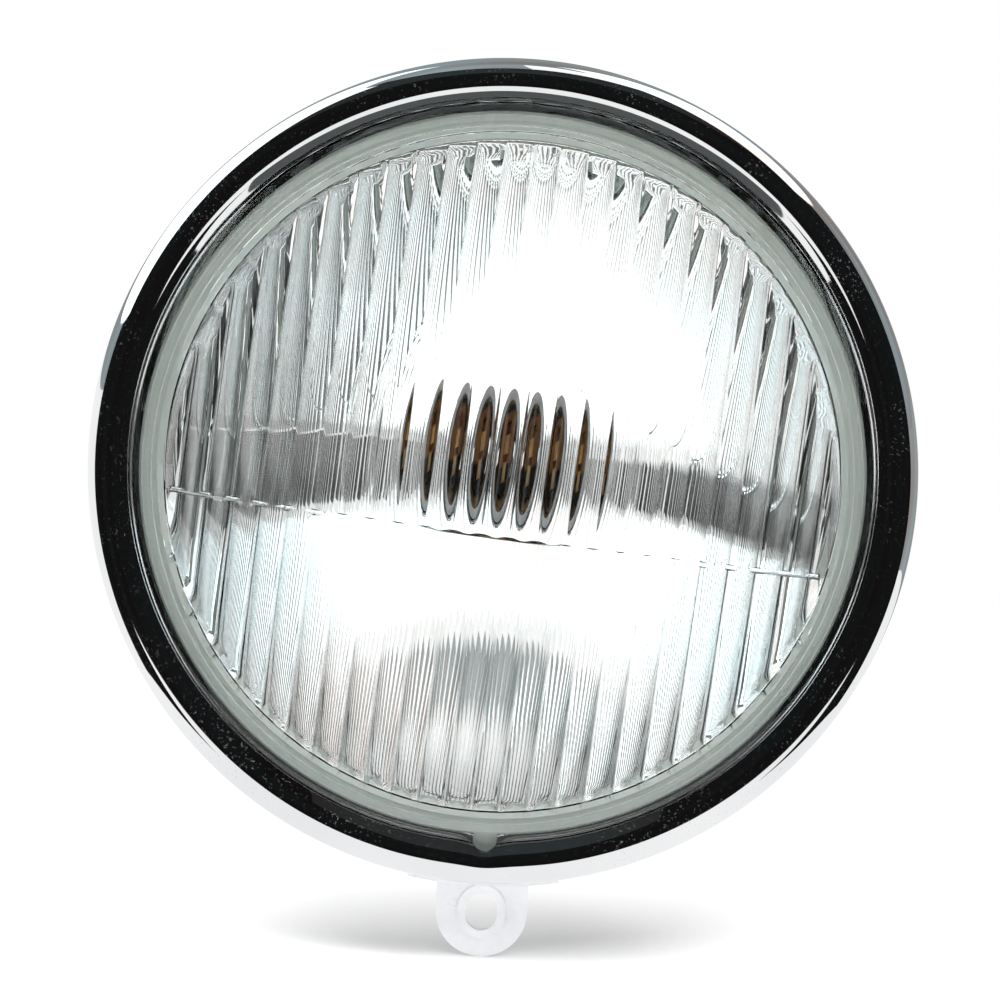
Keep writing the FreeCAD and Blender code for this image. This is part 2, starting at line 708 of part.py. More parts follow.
def make_holder_spring(number, side):
    """One of the two flat catches that hold the bulb holder on the neck's turned lip."""
    body = new_body("holder_spring_%d" % number)
    section = new_sketch(body, "XY_Plane", "spring_section_%d" % number)
    lip = "(neck_bore / 2 + reflector_sheet + neck_lip)"
    outside = "(holder_flange / 2 + spring_play)"
    catch = "(%s - reflector_sheet)" % NECK_REAR
    outline = [
        (lip, HOLDER_REAR),
        (outside, HOLDER_REAR),
        (outside, catch),
        (lip + " - spring_catch", catch),
        (lip + " - spring_catch", catch + " - spring_sheet"),
        (outside + " + spring_sheet", catch + " - spring_sheet"),
        (outside + " + spring_sheet", HOLDER_REAR + " + spring_sheet"),
        (lip, HOLDER_REAR + " + spring_sheet"),
    ]
    draw_outline(section, [("%s(%s)" % (side, x), y) for x, y in outline])
    pad(body, section, "spring_%d" % number, "spring_width")
    hole = new_sketch(body, "XZ_Plane", "spring_hole_%d" % number)
    hole.setExpression("AttachmentOffset.Base.z", bind("-" + NECK_REAR))
    draw_circle(hole, side + RIVET_RADIUS, "0", "rivet_shank / 2")
    pocket(body, hole, "spring_rivet_hole_%d" % number, "4 * holder_sheet", midplane=False)
    return body


def make_rivet(name, front, rear, x, z):
    """A rivet along Y from one outer face of the joint to the other, with a head on each."""
    parts = []
    for part, radius, low, high in (
            ("shank", "rivet_shank / 2", front, rear),
            ("front_head", "rivet_head / 2", front + " - rivet_head_height", front),
            ("rear_head", "rivet_head / 2", rear, rear + " + rivet_head_height")):
        cylinder = doc.addObject("Part::Cylinder", "%s_%s" % (name, part))
        cylinder.setExpression("Radius", bind(radius))
        cylinder.setExpression("Height", bind("%s - (%s)" % (high, low)))
        cylinder.Placement = FreeCAD.Placement(
            FreeCAD.Vector(0, 0, 0), FreeCAD.Rotation(FreeCAD.Vector(1, 0, 0), -90))
        cylinder.setExpression("Placement.Base.x", bind(x))
        cylinder.setExpression("Placement.Base.y", bind(low))
        cylinder.setExpression("Placement.Base.z", bind(z))
        parts.append(cylinder)
    rivet = doc.addObject("Part::MultiFuse", name)
    rivet.Shapes = parts
    rivet.Refine = True
    rivet.Label = name
    doc.recompute()
    return rivet


def make_spring_rivets():
    """The two rivets that fasten the catches to the holder cup."""
    pair = doc.addObject("Part::Compound", "spring_rivets")
    pair.Label = "spring_rivets"
    rear = HOLDER_REAR + " + spring_sheet"
    pair.Links = [
        make_rivet("right_rivet", NECK_REAR, rear, RIVET_RADIUS, "0"),
        make_rivet("left_rivet", NECK_REAR, rear, "-" + RIVET_RADIUS, "0")]
    doc.recompute()
    return pair


pieces = [
    make_rim(),
    make_fixing_bracket(),
    make_top_hook(),
    make_lens(),
    make_lens_gasket(),
    make_reflector(),
]
for clip in range(1, int(value_of("clip_count")) + 1):
    pieces.append(make_retaining_clip(clip))
pieces += [
    make_holder_cup(),
    make_socket_sleeve(),
    make_insulator_plate(),
    make_main_contact(),
    make_blade("live_terminal", PLATE_REAR, "-", "contact_offset", "live_foot"),
    make_rivet("contact_rivet", PLATE_FRONT + " - contact_sheet", PLATE_REAR + " + blade_sheet",
               "0", "-contact_offset"),
    make_blade("earth_terminal", HOLDER_REAR, "", RIVET_RADIUS, "earth_foot"),
    make_rivet("earth_rivet", NECK_REAR, HOLDER_REAR + " + blade_sheet", "0", RIVET_RADIUS),
    make_holder_spring(1, ""),
    make_holder_spring(2, "-"),
    make_spring_rivets(),
]
doc.recompute()

faults = []
for item in doc.Objects:
    if "Invalid" in item.State or "Error" in item.State:
        faults.append("%s is %s" % (item.Name, item.State))
for piece in pieces:
    if piece.Shape.isNull() or not piece.Shape.isValid():
        faults.append("%s has no valid shape" % piece.Label)
if faults:
    raise RuntimeError("; ".join(faults))
for piece in pieces:
    piece.Shape.exportStep("parts/%s.step" % piece.Label)
    print("%-20s %10.2f mm3" % (piece.Label, piece.Shape.Volume))
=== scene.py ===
# %% [markdown]
# A headlight insert is the part of a motorbike lamp that faces the road: a chromed rim holds
# a pressed glass lens against a bright bowl, and a bulb holder plugs into the bowl's neck.
# The CAD model gives the sizes and places. Here each piece that mirrors or bends light is
# modelled again as a smooth mesh, and every piece gets its finish.

# %% Load the CAD frame
import json
import math
import bmesh
import bpy
from mathutils import Matrix, Vector


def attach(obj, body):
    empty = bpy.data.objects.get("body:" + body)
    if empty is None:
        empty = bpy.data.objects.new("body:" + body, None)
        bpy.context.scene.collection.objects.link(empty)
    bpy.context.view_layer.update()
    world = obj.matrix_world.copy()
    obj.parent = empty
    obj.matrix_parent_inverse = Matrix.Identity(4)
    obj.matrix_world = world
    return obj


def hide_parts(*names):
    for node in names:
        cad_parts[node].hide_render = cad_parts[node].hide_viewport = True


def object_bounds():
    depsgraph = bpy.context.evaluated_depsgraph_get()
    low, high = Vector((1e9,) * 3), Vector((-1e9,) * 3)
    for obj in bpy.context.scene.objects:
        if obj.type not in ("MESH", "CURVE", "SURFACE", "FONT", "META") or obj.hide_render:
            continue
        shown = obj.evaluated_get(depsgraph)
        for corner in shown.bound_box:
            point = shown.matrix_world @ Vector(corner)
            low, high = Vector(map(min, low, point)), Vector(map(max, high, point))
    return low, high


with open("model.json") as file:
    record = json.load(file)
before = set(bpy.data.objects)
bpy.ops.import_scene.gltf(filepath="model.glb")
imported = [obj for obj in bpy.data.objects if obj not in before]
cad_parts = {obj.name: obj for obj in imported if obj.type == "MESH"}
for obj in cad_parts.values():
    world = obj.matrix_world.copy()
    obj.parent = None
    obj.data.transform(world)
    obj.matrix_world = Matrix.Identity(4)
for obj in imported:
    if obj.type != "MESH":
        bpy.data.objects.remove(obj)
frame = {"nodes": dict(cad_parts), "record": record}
cad_box = [list(corner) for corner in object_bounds()]
print("CAD box", cad_box)

# %% [markdown]
# Most pieces of a lamp are turned or pressed round, so one section spun about the optical
# axis makes them. A Screw modifier on a curve would do the same. The section is a chain of
# corners, and each corner is rounded before the spin, as a press tool rounds sheet.

# %% Sections and spins
MM = 0.001
AXIS = (0.0, 1.0, 0.0)
ROUND_STEPS = 256


def draw_section(steps, closed=True):
    """A chain of edges in the X-Y plane, in millimetres.

    A step is a corner (radius, level), a rounded corner (radius, level, rounding, segments)
    or ("arc", centre radius, centre level, degrees, segments), which spins the last corner on.
    """
    bm = bmesh.new()
    first = last = None
    rounded = []
    for step in steps:
        if step[0] == "arc":
            made = bmesh.ops.spin(
                bm, geom=[last], cent=(step[1] * MM, step[2] * MM, 0), axis=(0, 0, 1),
                angle=math.radians(step[3]), steps=step[4])
            last = made["geom_last"][0]
            continue
        vert = bm.verts.new((step[0] * MM, step[1] * MM, 0))
        if last:
            bm.edges.new((last, vert))
        if len(step) > 2:
            rounded.append((vert, step[2], step[3]))
        first = first or vert
        last = vert
    if closed:
        bm.edges.new((last, first))
    for vert, rounding, segments in rounded:
        bmesh.ops.bevel(
            bm, geom=[vert], offset=rounding * MM, offset_type="OFFSET", affect="VERTICES",
            segments=segments, profile=0.5, material=-1)
    return bm


def spin_round(bm, steps=ROUND_STEPS):
    """Spin what the bmesh holds once about the optical axis."""
    bmesh.ops.spin(
        bm, geom=bm.verts[:] + bm.edges[:], cent=(0, 0, 0), axis=AXIS, angle=math.tau,
        steps=steps, use_merge=True)
    bmesh.ops.remove_doubles(bm, verts=bm.verts[:], dist=1e-6)
    bmesh.ops.recalc_face_normals(bm, faces=bm.faces[:])


print("round pieces are spun in", ROUND_STEPS, "steps")

# %% [markdown]
# Two more tools are needed. A bmesh becomes an object with smooth faces that stay creased
# where they meet at an edge, and one piece can be cut with another. The Boolean modifier
# cuts, and its result is kept as the mesh, so that no modifier is left on the piece.

# %% Smooth meshes and cuts
CREASE = math.radians(35.0)


def shade(piece):
    """Smooth all faces, apart from creases."""
    piece.data.shade_smooth()
    piece.data.set_sharp_from_angle(angle=CREASE)


def finish_mesh(bm, name):
    """Turn a bmesh into a smooth object."""
    mesh = bpy.data.meshes.new(name)
    bm.to_mesh(mesh)
    bm.free()
    piece = bpy.data.objects.new(name, mesh)
    bpy.context.scene.collection.objects.link(piece)
    shade(piece)
    return piece


def carve(piece, cutter, operation):
    """Cut a piece with another one, keep the result as its mesh and take the cutter away."""
    modifier = piece.modifiers.new("carve", "BOOLEAN")
    modifier.operation = operation
    modifier.solver = "EXACT"
    modifier.object = cutter
    seen = piece.evaluated_get(bpy.context.evaluated_depsgraph_get())
    mesh = bpy.data.meshes.new_from_object(seen)
    piece.modifiers.clear()
    piece.data = mesh
    bpy.data.objects.remove(cutter)


print("creases from", round(math.degrees(CREASE)), "degrees")

# %% [markdown]
# The rim is one chromed pressing: an arch that turns in to a lip over the glass, with a hem
# that seats on the lamp shell. The faces of a CAD mesh are flat, which shows at once in
# chrome, so the rim is spun here from its section, with both skins of the sheet.
# The inner side is a round that runs out in a short straight slope. Across its width a slope
# mirrors nearly the same part of the room, which gives the even band beside the glass.

# %% Section of the rim
RIM = 57.5
OPENING = 50.3
CREST = 54.3
CREST_LEVEL = -13.0
LIP = -10.8
SHEET = 0.8
SHOULDER = RIM - CREST
HEM = 55.0
HEM_ROUND = 1.2
HEM_INNER_ROUND = 0.4
LIP_SLOPE = 36.0
SLOPE = math.radians(LIP_SLOPE)
CREST_ROUND = (
    (CREST - OPENING) * math.sin(SLOPE) - (LIP - CREST_LEVEL) * math.cos(SLOPE)
) / (1 - math.cos(SLOPE))


def below_crest(radius):
    """The end of the crest's round, from which the sheet runs straight in to the lip."""
    return (CREST - radius * math.sin(SLOPE),
            CREST_LEVEL + CREST_ROUND - radius * math.cos(SLOPE))


UNDER_CREST = below_crest(CREST_ROUND - SHEET)
UNDER_LIP = UNDER_CREST[0] - (LIP - UNDER_CREST[1]) / math.tan(SLOPE)

rim_section = draw_section([
    (OPENING, LIP),
    below_crest(CREST_ROUND),
    ("arc", CREST, CREST_LEVEL + CREST_ROUND, LIP_SLOPE, 16),
    ("arc", CREST, CREST_LEVEL + SHOULDER, 90, 24),
    (RIM, 0, HEM_ROUND, 6),
    (HEM, 0),
    (HEM, -SHEET),
    (RIM - SHEET, -SHEET, HEM_INNER_ROUND, 3),
    (RIM - SHEET, CREST_LEVEL + SHOULDER),
    ("arc", CREST, CREST_LEVEL + SHOULDER, -90, 10),
    ("arc", CREST, CREST_LEVEL + CREST_ROUND, -LIP_SLOPE, 8),
    (UNDER_LIP, LIP)])
print("crest round", round(CREST_ROUND, 2), "mm, section edges", len(rim_section.edges))

# %% [markdown]
# A drain notch is nicked into the bottom of the lip, and the punch dents the sheet round it.
# The dent could be sculpted. Here a soft bell curve pushes the points back, and a round bar
# then cuts the notch.

# %% Rim with its notch
RIM_STEPS = 512
DENT_SIZE = 2.4
DENT_HEIGHT = -51.2
DENT_DEPTH = 0.6
NOTCH_RADIUS = 1.7 * MM
NOTCH_REACH = 12 * MM
NOTCH_PLACE = (0, -10 * MM, -50.8 * MM)
ALONG_AXIS = Matrix.Rotation(math.pi / 2, 4, "X")

spin_round(rim_section, RIM_STEPS)
for vert in rim_section.verts:
    away = math.hypot(vert.co.x, vert.co.z - DENT_HEIGHT * MM) / MM
    vert.co.y += DENT_DEPTH * math.exp(-(away / DENT_SIZE) ** 2) * MM
rim = finish_mesh(rim_section, "chrome_rim")

notch_tool = bmesh.new()
bmesh.ops.create_cone(
    notch_tool, cap_ends=True, segments=32, radius1=NOTCH_RADIUS, radius2=NOTCH_RADIUS,
    depth=NOTCH_REACH, matrix=Matrix.Translation(NOTCH_PLACE) @ ALONG_AXIS)
carve(rim, finish_mesh(notch_tool, "notch_tool"), "DIFFERENCE")
shade(rim)
print("rim faces", len(rim.data.polygons))

# %% [markdown]
# The lens is pressed from clear glass. Its front is a shallow dome with a stepped border,
# and a flange under the rim's lip holds it. The blank is spun with a flat back first. A hair
# of air is left between the flange and the lip, so that no two faces coincide.

# %% Lens blank
DOME_RADIUS = 150.0
DOME_EDGE = (45.3, -14.3)
DOME_CENTRE = DOME_EDGE[1] + math.sqrt(DOME_RADIUS ** 2 - DOME_EDGE[0] ** 2)
DOME_TURN = math.degrees(math.asin(DOME_EDGE[0] / DOME_RADIUS))
BEADS = [
    (46.2, -14.07), (46.4, -13.88), (46.6, -13.97),
    (47.3, -13.80), (47.5, -13.61), (47.7, -13.69)]
LEDGE = 48.4
LEDGE_TOP = -13.5
LEDGE_FOOT = -12.8
LEDGE_ROUND = 0.25
WALL = 49.9
WALL_TOP = -12.4
WALL_ROUND = 0.5
AIR = 0.05
LENS_FRONT = LIP + AIR
LENS_REAR = -8.25
LENS_RADIUS = 54.0

lens_section = draw_section([
    (0.0, DOME_CENTRE - DOME_RADIUS),
    ("arc", 0.0, DOME_CENTRE, DOME_TURN, 32),
    *BEADS,
    (LEDGE, LEDGE_TOP, LEDGE_ROUND, 4),
    (LEDGE, LEDGE_FOOT, LEDGE_ROUND, 3),
    (WALL, WALL_TOP, WALL_ROUND, 4),
    (WALL, LENS_FRONT),
    (LENS_RADIUS, LENS_FRONT),
    (LENS_RADIUS, LENS_REAR),
    (0.0, LENS_REAR)], closed=False)
spin_round(lens_section)
lens = finish_mesh(lens_section, "fluted_lens")

# %% [markdown]
# A plunger with ribs presses the flutes into the back of the glass. The ribs follow the curve
# of the dome, so the plunger's face is a row of round ribs bent about an axis across them.
# It is made that way here: a row of arcs with softened valleys, spun about that axis.

# %% Ribbed plunger
FIELD = 45.6
PITCH = 3.8
DEPTH = 0.6
GLASS = 4.0
RIB = ((PITCH / 2) ** 2 + DEPTH ** 2) / (2 * DEPTH)
RIB_STEPS = 14
VALLEY_ROUND = 0.22
PLUNGER_BACK = LENS_REAR + 30
BEND_OVERRUN = 1.2
BEND_STEPS = 64


def in_valley(vert):
    """Whether a point of the row lies where two ribs meet."""
    return abs((vert.co.x / MM / PITCH) % 1 - 0.5) < 1e-3 and len(vert.link_edges) == 2


def draw_ribs(bm, radius, centre):
    """A row of arcs whose ends stand on the dome's curve."""
    sides = math.ceil(FIELD / PITCH) + 1
    for number in range(-sides, sides + 1):
        left = (number - 0.5) * PITCH
        right = (number + 0.5) * PITCH
        ends = [
            Vector((x, centre - math.sqrt(radius ** 2 - x ** 2), 0)) for x in (left, right)]
        chord = ends[1] - ends[0]
        inward = Vector((-chord.y, chord.x, 0)).normalized()
        middle = (ends[0] + ends[1]) / 2 + inward * math.sqrt(
            RIB ** 2 - chord.length_squared / 4)
        bmesh.ops.spin(
            bm, geom=[bm.verts.new(ends[0] * MM)], cent=middle * MM, axis=(0, 0, 1),
            angle=2 * math.asin(chord.length / 2 / RIB), steps=RIB_STEPS)
    bmesh.ops.remove_doubles(bm, verts=bm.verts[:], dist=1e-6)
    bmesh.ops.bevel(
        bm, geom=[vert for vert in bm.verts if in_valley(vert)], offset=VALLEY_ROUND * MM,
        offset_type="OFFSET", affect="VERTICES", segments=4, profile=0.5, material=-1)


def make_plunger(name, radius, step):
    """The ribbed plunger above or below the lens's dividing line."""
    centre = DOME_CENTRE - DOME_RADIUS + GLASS + step + radius
    bm = bmesh.new()
    draw_ribs(bm, radius, centre)
    back = bmesh.ops.extrude_edge_only(bm, edges=bm.edges[:])
    for vert in back["geom"]:
        if isinstance(vert, bmesh.types.BMVert):
            vert.co.y = PLUNGER_BACK * MM
    tilt = BEND_OVERRUN * math.asin(DOME_EDGE[0] / radius)
    bmesh.ops.rotate(
        bm, verts=bm.verts[:], cent=(0, centre * MM, 0), matrix=Matrix.Rotation(-tilt, 3, "X"))
    bmesh.ops.spin(
        bm, geom=bm.faces[:] + bm.edges[:] + bm.verts[:], cent=(0, centre * MM, 0),
        axis=(1, 0, 0), angle=2 * tilt, steps=BEND_STEPS)
    bmesh.ops.recalc_face_normals(bm, faces=bm.faces[:])
    return finish_mesh(bm, name)


print("rib radius", round(RIB, 2), "mm")

# %% [markdown]
# The flutes fill a round field whose edge tapers outwards to the back, so that the plunger
# comes free. A dividing line runs across the field below the middle, and the flutes below it
# bend more. So each plunger is cut to its half of the field and then taken out of the glass.
# The field is 1 mm larger in radius than in the solid, because the photo shows it that large.

# %% Press the flutes
SPLIT = -7.7
FIELD_LEVEL = DOME_CENTRE + GLASS - math.sqrt(DOME_RADIUS ** 2 - FIELD ** 2)
FIELD_DRAFT = math.tan(math.radians(55))
CUT_FRONT, CUT_REAR = -24.0, -6.0
LOWER_RADIUS = 128.0
LOWER_STEP = -0.7


def field_half(name, upper):
    """The half of the field's tapered hole that lies above or below the dividing line."""
    bm = bmesh.new()
    bmesh.ops.create_cone(
        bm, cap_ends=True, segments=ROUND_STEPS, depth=(CUT_REAR - CUT_FRONT) * MM,
        radius1=(FIELD + FIELD_DRAFT * (CUT_REAR - FIELD_LEVEL)) * MM,
        radius2=(FIELD + FIELD_DRAFT * (CUT_FRONT - FIELD_LEVEL)) * MM,
        matrix=Matrix.Translation((0, (CUT_FRONT + CUT_REAR) / 2 * MM, 0)) @ ALONG_AXIS)
    cut = bmesh.ops.bisect_plane(
        bm, geom=bm.verts[:] + bm.edges[:] + bm.faces[:], plane_co=(0, 0, SPLIT * MM),
        plane_no=(0, 0, -1 if upper else 1), clear_outer=True)
    edges = [item for item in cut["geom_cut"] if isinstance(item, bmesh.types.BMEdge)]
    bmesh.ops.edgeloop_fill(bm, edges=edges)
    bmesh.ops.recalc_face_normals(bm, faces=bm.faces[:])
    return finish_mesh(bm, name)


for name, radius, step, upper in (
        ("upper", DOME_RADIUS, 0.0, True), ("lower", LOWER_RADIUS, LOWER_STEP, False)):
    tool = make_plunger(name + "_plunger", radius, step)
    carve(tool, field_half(name + "_field", upper), "INTERSECT")
    carve(lens, tool, "DIFFERENCE")
print("fluted faces", len(lens.data.polygons))

# %% [markdown]
# Pressed glass has no sharp inner corners, so a fine round groove softens the dividing line.
# In the rim the glass sits a few degrees turned, which makes the flutes and the line lean.

# %% Dividing line
SPLIT_ROUND = 0.45
FLUTE_RADIUS = DOME_RADIUS - GLASS
GROOVE_SHARE = 0.98
GROOVE_STEPS = 48
LENS_TURN = math.radians(5.0)

groove = bmesh.new()
bmesh.ops.create_circle(
    groove, cap_ends=True, segments=16, radius=SPLIT_ROUND * MM,
    matrix=Matrix.Translation((0, (DOME_CENTRE - FLUTE_RADIUS) * MM, SPLIT * MM))
    @ Matrix.Rotation(math.pi / 2, 4, "Y"))
swing = GROOVE_SHARE * math.asin(FIELD / FLUTE_RADIUS)
bmesh.ops.rotate(
    groove, verts=groove.verts[:], cent=(0, DOME_CENTRE * MM, 0),
    matrix=Matrix.Rotation(-swing, 3, "Z"))
bmesh.ops.spin(
    groove, geom=groove.faces[:], cent=(0, DOME_CENTRE * MM, 0), axis=(0, 0, 1),
    angle=2 * swing, steps=GROOVE_STEPS)
bmesh.ops.recalc_face_normals(groove, faces=groove.faces[:])
carve(lens, finish_mesh(groove, "split_groove"), "DIFFERENCE")
lens.data.transform(Matrix.Rotation(LENS_TURN, 4, "Y"))
shade(lens)
print("lens faces", len(lens.data.polygons), lens.dimensions)

# %% [markdown]
# The reflector is a steel bowl, drawn to a paraboloid so that light from the bulb leaves it
# in one direction. Drawing can leave shallow rings round the neck, and they are a guess here.
# A bump in the finish could show them too. In the section, in fine steps, they are true shapes.

# %% Reflector
FOCUS = 24.0
APERTURE = 47.5
FLANGE = -6.6
FLANGE_EDGE = 54.6
FLANGE_ROUND = 0.5
FLANGE_TURN = 2
VERTEX = FLANGE + APERTURE ** 2 / (4 * FOCUS)
NECK = 10.0
NECK_COLLAR = 12.0
NECK_END = 22.861
RING_DEPTH = 0.05
RING_PITCH = 2.6
RING_END = 20.0
RING_STEP = 0.2
RING_STEPS = 50
FAR_STEPS = 50
OUTSIDE_STEPS = 24
BOWL_ROUND_STEPS = 384


def bowl(radius, offset=0.0):
    """The level of the paraboloid at a radius, in millimetres."""
    return VERTEX + offset - radius ** 2 / (4 * FOCUS)


def draw_rings(radius):
    """The shallow rings that the drawing tool leaves round the neck, dying out further out."""
    fade = max(0.0, (RING_END - radius) / (RING_END - NECK))
    return RING_DEPTH * fade * math.sin(2 * math.pi * (radius - NECK) / RING_PITCH)


inner_radii = [NECK + RING_STEP * i for i in range(RING_STEPS)] + [
    RING_END + (APERTURE - RING_END) * i / FAR_STEPS for i in range(FAR_STEPS + 1)]
inside = [(r, bowl(r) + draw_rings(r)) for r in inner_radii]
coarse_radii = [
    NECK + (APERTURE - NECK) * i / OUTSIDE_STEPS for i in range(OUTSIDE_STEPS + 1)]
outer_radii = [
    r + SHEET * (APERTURE - r) / (APERTURE - NECK) for r in reversed(coarse_radii)]
outside = [(r, bowl(r, SHEET)) for r in outer_radii]
flange = [
    (FLANGE_EDGE, FLANGE, FLANGE_ROUND, 3), (FLANGE_EDGE, FLANGE + FLANGE_TURN),
    (FLANGE_EDGE - SHEET, FLANGE + FLANGE_TURN), (FLANGE_EDGE - SHEET, FLANGE + SHEET)]
collar = [
    (NECK + SHEET, NECK_END - SHEET), (NECK_COLLAR, NECK_END - SHEET),
    (NECK_COLLAR, NECK_END), (NECK, NECK_END)]
reflector_section = draw_section(inside + flange + outside + collar)
spin_round(reflector_section, BOWL_ROUND_STEPS)
reflector = finish_mesh(reflector_section, "bright_reflector")
print("reflector faces", len(reflector.data.polygons))

# %% [markdown]
# A small round punch mark stands beside the screw hole of the tab. It is a raised ring, so a
# small circle spun about the mark's own axis makes it.

# %% Punch mark
MARK = Vector((-4.1, -1.0, -62.5)) * MM
MARK_RADIUS = 0.55 * MM
MARK_WIRE = 0.09 * MM

mark_section = bmesh.new()
bmesh.ops.create_circle(
    mark_section, segments=12, radius=MARK_WIRE,
    matrix=Matrix.Translation(MARK + Vector((MARK_RADIUS, 0, 0))))
bmesh.ops.spin(
    mark_section, geom=mark_section.verts[:] + mark_section.edges[:], cent=MARK, axis=AXIS,
    angle=math.tau, steps=32, use_merge=True)
bmesh.ops.remove_doubles(mark_section, verts=mark_section.verts[:], dist=1e-7)
bmesh.ops.recalc_face_normals(mark_section, faces=mark_section.faces[:])
punch_mark = finish_mesh(mark_section, "punch_mark")
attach(punch_mark, "root")
print("punch mark faces", len(punch_mark.data.polygons))

# %% [markdown]
# A pale rubber ring keeps dust out between glass and bowl. Its thin inner lip stands behind
# the border of the glass to give it a pale green tone. After it, each rebuilt piece takes the
# place of its CAD node.

# %% Gasket
GASKET_LIP = 46.2
GASKET_INNER = 47.9
GASKET_OUTER = 53.9
GASKET_FRONT = -8.15
GASKET_LIP_REAR = -7.75
GASKET_REAR = -6.65

gasket_section = draw_section([
    (GASKET_LIP, GASKET_FRONT), (GASKET_OUTER, GASKET_FRONT), (GASKET_OUTER, GASKET_REAR),
    (GASKET_INNER, GASKET_REAR), (GASKET_INNER, GASKET_LIP_REAR), (GASKET_LIP, GASKET_LIP_REAR)])
spin_round(gasket_section)
gasket = finish_mesh(gasket_section, "sealing_ring")
print("gasket faces", len(gasket.data.polygons))

for piece, node, slot in (
        (rim, "rim", "chrome"), (lens, "lens", "lens_glass"),
        (reflector, "reflector", "reflector_metal"), (gasket, "lens_gasket", "gasket_rubber")):
    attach(piece, "root")
    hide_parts(node)

# %% [markdown]
# A finish is a small tree of nodes. A value in it can be added, subtracted or multiplied like
# a number, so that the tree reads as a sum and not as a list of links.

# %% Values


class Value:
    """An output of a node that Python's operators can calculate with."""

    def __init__(self, finish, socket):
        self.finish = finish
        self.socket = socket

    def combine(self, operation, first, second):
        return self.finish.add("ShaderNodeMath", {"operation": operation}, {0: first, 1: second})

    def __add__(self, other):
        return self.combine("ADD", self, other)

    def __radd__(self, other):
        return self.combine("ADD", other, self)

    def __sub__(self, other):
        return self.combine("SUBTRACT", self, other)

    def __rsub__(self, other):
        return self.combine("SUBTRACT", other, self)

    def __mul__(self, other):
        return self.combine("MULTIPLY", self, other)

    def __rmul__(self, other):
        return self.combine("MULTIPLY", other, self)


print("values know", [name for name in vars(Value) if name.startswith("__r")])

# %% [markdown]
# One method adds any node, and a few short ones wrap the nodes that come back often. The same
# class serves for the white room around the lamp, because a world is a tree of nodes too.

# %% Finishes


class Finish:
    """A material, or a world, under construction."""

    def __init__(self, name, world=False):
        self.material = (bpy.data.worlds if world else bpy.data.materials).new(name)
        self.material.use_nodes = True
        self.tree = self.material.node_tree
        self.tree.nodes.clear()
        self.output = self.tree.nodes.new(
            "ShaderNodeOutputWorld" if world else "ShaderNodeOutputMaterial")

    def add(self, kind, settings=None, sockets=None, output=0):
        """Add a node: first its settings, then the values or links of its sockets."""
        node = self.tree.nodes.new(kind)
        for key, setting in (settings or {}).items():
            setattr(node, key, setting)
        for key, given in (sockets or {}).items():
            if isinstance(given, Value):
                self.tree.links.new(given.socket, node.inputs[key])
            else:
                node.inputs[key].default_value = given
        return Value(self, node.outputs[output])

    def place(self):
        return self.add("ShaderNodeTexCoord", output="Object")

    def noise(self, scale, detail=3.0, roughness=0.5):
        return self.add(
            "ShaderNodeTexNoise", None,
            {"Vector": self.place(), "Scale": scale, "Detail": detail, "Roughness": roughness})

    def spread(self, value, low, high, start=0.3, end=0.7):
        """Map a value that runs from start to end on to the range from low to high."""
        return self.add(
            "ShaderNodeMapRange", None, {0: value, 1: start, 2: end, 3: low, 4: high})

    def blend(self, factor, first, second):
        """Mix two colours."""
        return self.add(
            "ShaderNodeMix", {"data_type": "RGBA"}, {0: factor, 6: first, 7: second}, output=2)

    def bump(self, height, strength, distance):
        return self.add(
            "ShaderNodeBump", None,
            {"Height": height, "Strength": strength, "Distance": distance})

    def seen_plainly(self):
        """One or more for a camera ray, a reflection or a ray through glass, else zero."""
        camera = self.add("ShaderNodeLightPath", output="Is Camera Ray")
        mirrored = self.add("ShaderNodeLightPath", output="Is Glossy Ray")
        through = self.add("ShaderNodeLightPath", output="Is Transmission Ray")
        return camera + mirrored + through

    def close(self, shader):
        self.tree.links.new(shader.socket, self.output.inputs["Surface"])
        return self.material

    def surface(self, **sockets):
        """End the tree in one principled surface. Underscores stand for spaces in names."""
        named = {key.replace("_", " "): given for key, given in sockets.items()}
        return self.close(self.add("ShaderNodeBsdfPrincipled", None, named))


def dress(piece, *materials):
    """Give a piece its finishes."""
    piece.data.materials.clear()
    for material in materials:
        piece.data.materials.append(material)


def count_nodes(*materials):
    """Say how large the trees of some finishes are."""
    return {material.name: len(material.node_tree.nodes) for material in materials}


print("materials before dressing", len(bpy.data.materials))

# %% [markdown]
# Chrome plate is a near perfect mirror. What tells it from a drawing of one is the faint
# waviness of the pressing under it, a little haze, and specks of dust that lie in patches.

# %% Chrome
def make_chrome():
    finish = Finish("bright_chrome")
    haze = finish.noise(45.0, 1.0)
    grains = finish.spread(finish.noise(2600.0, 1.0), 0.0, 1.0, 0.62, 0.8)
    patches = finish.spread(finish.noise(110.0, 1.0), 0.05, 0.6, 0.46, 0.7)
    dust = grains * patches
    tint = finish.blend(
        finish.spread(haze, 0.0, 1.0), (0.80, 0.81, 0.82, 1), (0.88, 0.885, 0.89, 1))
    return finish.surface(
        Base_Color=finish.blend(dust, tint, (0.55, 0.58, 0.60, 1)),
        Metallic=1 - dust * 0.2,
        Roughness=finish.spread(haze, 0.02, 0.05) + dust * 0.2,
        Normal=finish.bump(finish.noise(160.0, 0.0), 0.04, 0.0004))


chrome = make_chrome()
dress(rim, chrome)
print("chrome nodes", count_nodes(chrome))


# %% [markdown]
# Pressed glass is clear, with a faint green cast that is not quite even. The flutes are real
# shapes that bend the light, so the finish needs no bump.

# %% Glass
def make_glass():
    finish = Finish("pressed_glass")
    return finish.surface(
        Base_Color=finish.blend(
            finish.noise(40.0, 0.0), (0.98, 0.993, 0.984, 1), (0.99, 0.997, 0.992, 1)),
        Roughness=0.0, IOR=1.51, Transmission_Weight=1.0)


glass = make_glass()
dress(lens, glass)
print("glass nodes", count_nodes(glass))


